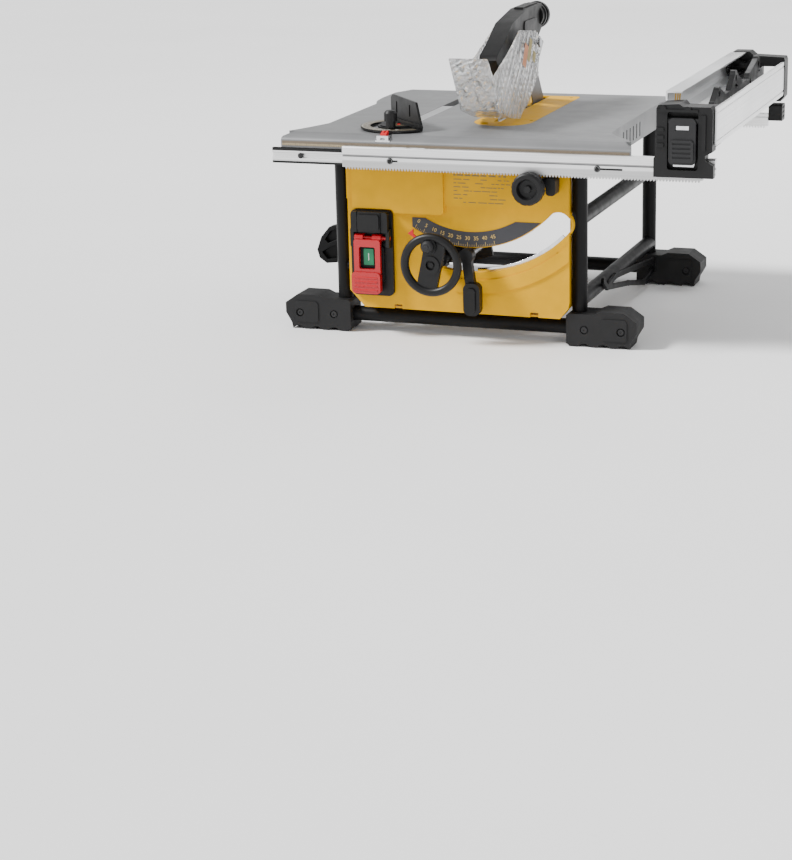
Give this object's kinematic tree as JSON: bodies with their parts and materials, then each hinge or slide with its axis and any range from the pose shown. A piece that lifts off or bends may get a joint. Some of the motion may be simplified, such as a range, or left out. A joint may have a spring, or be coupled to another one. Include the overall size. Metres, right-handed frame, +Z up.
{
  "type": "table saw",
  "caption": "Compact jobsite table saw with tube base, tilting and rising blade, clear blade guard, rack-driven rip fence and mitre gauge.",
  "frame": {"origin": "on the floor, under the middle of the whole saw's bounding box with the fence where the picture shows it", "axes": "+X to the operator's right, +Y away from the operator, +Z up; the operator stands on the -Y side"},
  "size_m": [0.745, 0.5953, 0.5116],
  "materials": {
    "frame_black": "satin powder coat",
    "plastic_black": "fine-textured moulding",
    "plastic_dark": "fine-textured moulding",
    "rubber_black": "moulded rubber over plastic",
    "table_grey": "grey coated cast aluminium, satin",
    "yellow": "satin moulded plastic",
    "insert_yellow": "satin powder coat",
    "aluminium": "clear anodised, lengthwise brushed",
    "steel": "machined",
    "blade_steel": "ground",
    "zinc": "bright plated",
    "scale_grey": "printed label",
    "red": "glossy moulding",
    "green": "glossy moulding",
    "clear": "clear polycarbonate"
  },
  "bodies": {
    "base": {"posts_front": "frame_black", "posts_rear": "frame_black", "cross_tubes": "frame_black", "side_tubes_lower": "frame_black", "side_tubes_upper": "frame_black", "foot_front_left": "rubber_black", "foot_front_right": "rubber_black", "foot_rear_left": "rubber_black", "foot_rear_right": "rubber_black", "foot_screws": "plastic_dark", "storage_hook": "frame_black", "storage_loop": "frame_black", "table_top": "table_grey", "throat_insert": "insert_yellow", "front_fixed_rail": "aluminium", "rear_fixed_rail": "aluminium", "front_panel": "yellow", "bevel_scale": "scale_grey", "bevel_track": "zinc", "trunnions": "steel", "switch_plate": "plastic_black"},
    "tilt": {"tilt_frame": "plastic_dark", "guide_rods": "steel", "bevel_pointer": "red"},
    "lever_bevel": {"bevel_lock_lever": "plastic_black"},
    "wheel": {"handwheel": "plastic_black"},
    "crank": {"crank_knob": "plastic_dark"},
    "screw": {"lead_screw": "steel"},
    "carriage": {"carriage": "steel", "blade_shroud": "plastic_black", "motor_housing": "plastic_black", "gear_case": "steel", "riving_knife": "steel", "guard_duct": "plastic_black"},
    "spindle": {"arbor": "steel", "blade": "blade_steel", "arbor_nut": "steel"},
    "rotor": {"motor_rotor": "steel"},
    "guard_axle": {"guard_pin": "steel"},
    "guard_bushing": {"guard_bush": "plastic_black"},
    "shield_left": {"guard_left": "clear"},
    "shield_right": {"guard_right": "clear"},
    "rails": {"front_slide_rail": "aluminium", "rear_slide_rail": "aluminium", "slide_end_cap": "plastic_black"},
    "fence": {"fence_beam": "aluminium", "fence_face": "aluminium", "fence_head_front": "plastic_black", "fence_head_rear": "plastic_black"},
    "latch_front": {"fence_latch_front": "plastic_dark"},
    "latch_rear": {"fence_latch_rear": "plastic_dark"},
    "stick": {"push_stick": "plastic_black"},
    "pinions": {"pinion_shaft": "steel", "adjust_knob": "plastic_black"},
    "rail_lock": {"rail_lock_lever": "plastic_black"},
    "gauge_bar": {"mitre_bar": "aluminium"},
    "gauge_head": {"mitre_head": "plastic_black"},
    "gauge_knob": {"mitre_knob": "plastic_black"},
    "paddle": {"stop_paddle": "red"},
    "start": {"start_button": "green"}
  },
  "joints": [
    {"name": "bevel_tilt", "type": "hinge", "parent": "base", "child": "tilt", "pos_m": [-0.0405, -0.1997, 0.338], "axis": [0, -1, 0], "range_deg": [0, 45]},
    {"name": "bevel_lock", "type": "hinge", "parent": "tilt", "child": "lever_bevel", "pos_m": [-0.0385, -0.2497, 0.147], "axis": [0, 1, 0], "range_deg": [-40, 0]},
    {"name": "blade_lift", "type": "slide", "parent": "tilt", "child": "carriage", "axis": [0, 0, 1], "range_m": [-0.064, 0]},
    {"name": "height_wheel", "type": "hinge", "parent": "tilt", "child": "wheel", "pos_m": [-0.0905, -0.1997, 0.135], "axis": [0, -1, 0], "range_deg": [-2881, 1]},
    {"name": "crank_spin", "type": "hinge", "parent": "wheel", "child": "crank", "pos_m": [-0.093, -0.2897, 0.166], "axis": [0, -1, 0], "continuous": true},
    {"name": "lead_screw_turn", "type": "hinge", "parent": "tilt", "child": "screw", "pos_m": [-0.0905, -0.1217, 0.2], "axis": [0, 0, 1], "range_deg": [-2881, 1]},
    {"name": "blade_spin", "type": "hinge", "parent": "carriage", "child": "spindle", "pos_m": [-0.0405, 0.0223, 0.298], "axis": [1, 0, 0], "continuous": true},
    {"name": "motor_spin", "type": "hinge", "parent": "carriage", "child": "rotor", "pos_m": [-0.1485, 0.0223, 0.268], "axis": [1, 0, 0], "continuous": true},
    {"name": "guard_axle_turn", "type": "hinge", "parent": "carriage", "child": "guard_axle", "pos_m": [-0.0405, 0.0543, 0.452], "axis": [-1, 0, 0], "range_deg": [-1, 33]},
    {"name": "guard_bush_turn", "type": "hinge", "parent": "guard_axle", "child": "guard_bushing", "pos_m": [-0.0705, 0.0543, 0.452], "axis": [-1, 0, 0], "range_deg": [-1, 19]},
    {"name": "shield_left_raise", "type": "hinge", "parent": "guard_bushing", "child": "shield_left", "pos_m": [-0.0705, 0.0543, 0.452], "axis": [-1, 0, 0], "range_deg": [0, 50]},
    {"name": "shield_right_raise", "type": "hinge", "parent": "guard_axle", "child": "shield_right", "pos_m": [-0.0105, 0.0543, 0.452], "axis": [-1, 0, 0], "range_deg": [0, 50]},
    {"name": "fence_travel", "type": "slide", "parent": "base", "child": "rails", "axis": [1, 0, 0], "range_m": [-0.26, 0.3]},
    {"name": "fence_adjust", "type": "hinge", "parent": "base", "child": "pinions", "pos_m": [0.0745, -0.1997, 0.266], "axis": [0, 1, 0], "range_deg": [-746, 861]},
    {"name": "rail_lock", "type": "hinge", "parent": "base", "child": "rail_lock", "pos_m": [0.0745, -0.2517, 0.266], "axis": [0, 1, 0], "range_deg": [0, 40]},
    {"name": "fence_lift_off", "type": "slide", "parent": "rails", "child": "fence", "axis": [0, 0, 1], "range_m": [0, 0.06]},
    {"name": "front_latch", "type": "hinge", "parent": "fence", "child": "latch_front", "pos_m": [0.3205, -0.2817, 0.38], "axis": [-1, 0, 0], "range_deg": [0, 35]},
    {"name": "rear_latch", "type": "hinge", "parent": "fence", "child": "latch_rear", "pos_m": [0.3055, 0.2903, 0.346], "axis": [1, 0, 0], "range_deg": [0, 50]},
    {"name": "push_stick_out", "type": "slide", "parent": "fence", "child": "stick", "axis": [0, 0, 1], "range_m": [0, 0.06]},
    {"name": "mitre_slide", "type": "slide", "parent": "base", "child": "gauge_bar", "axis": [0, -1, 0], "range_m": [-0.18, 0.24]},
    {"name": "mitre_turn", "type": "hinge", "parent": "gauge_bar", "child": "gauge_head", "pos_m": [-0.1765, -0.1787, 0.34], "axis": [0, 0, 1], "range_deg": [-15, 105]},
    {"name": "mitre_knob_turn", "type": "hinge", "parent": "gauge_bar", "child": "gauge_knob", "pos_m": [-0.1765, -0.2207, 0.36], "axis": [0, 0, 1], "continuous": true},
    {"name": "stop_paddle_lift", "type": "hinge", "parent": "base", "child": "paddle", "pos_m": [-0.2085, -0.2417, 0.166], "axis": [-1, 0, 0], "range_deg": [-2, 80], "stiffness_Nm_per_rad": 0.06},
    {"name": "start_press", "type": "slide", "parent": "base", "child": "start", "axis": [0, 1, 0], "range_m": [0, 0.003], "stiffness_N_per_m": 300}
  ],
  "couplings": [
    {"joint": "height_wheel", "follows": "blade_lift", "rad_per_m": 785.4},
    {"joint": "lead_screw_turn", "follows": "blade_lift", "rad_per_m": 785.4},
    {"joint": "motor_spin", "follows": "blade_spin", "ratio": -3.8},
    {"joint": "guard_axle_turn", "follows": "blade_lift", "rad_per_m": -8.7266},
    {"joint": "guard_bush_turn", "follows": "bevel_tilt", "ratio": 0.4},
    {"joint": "fence_adjust", "follows": "fence_travel", "rad_per_m": 50}
  ]
}
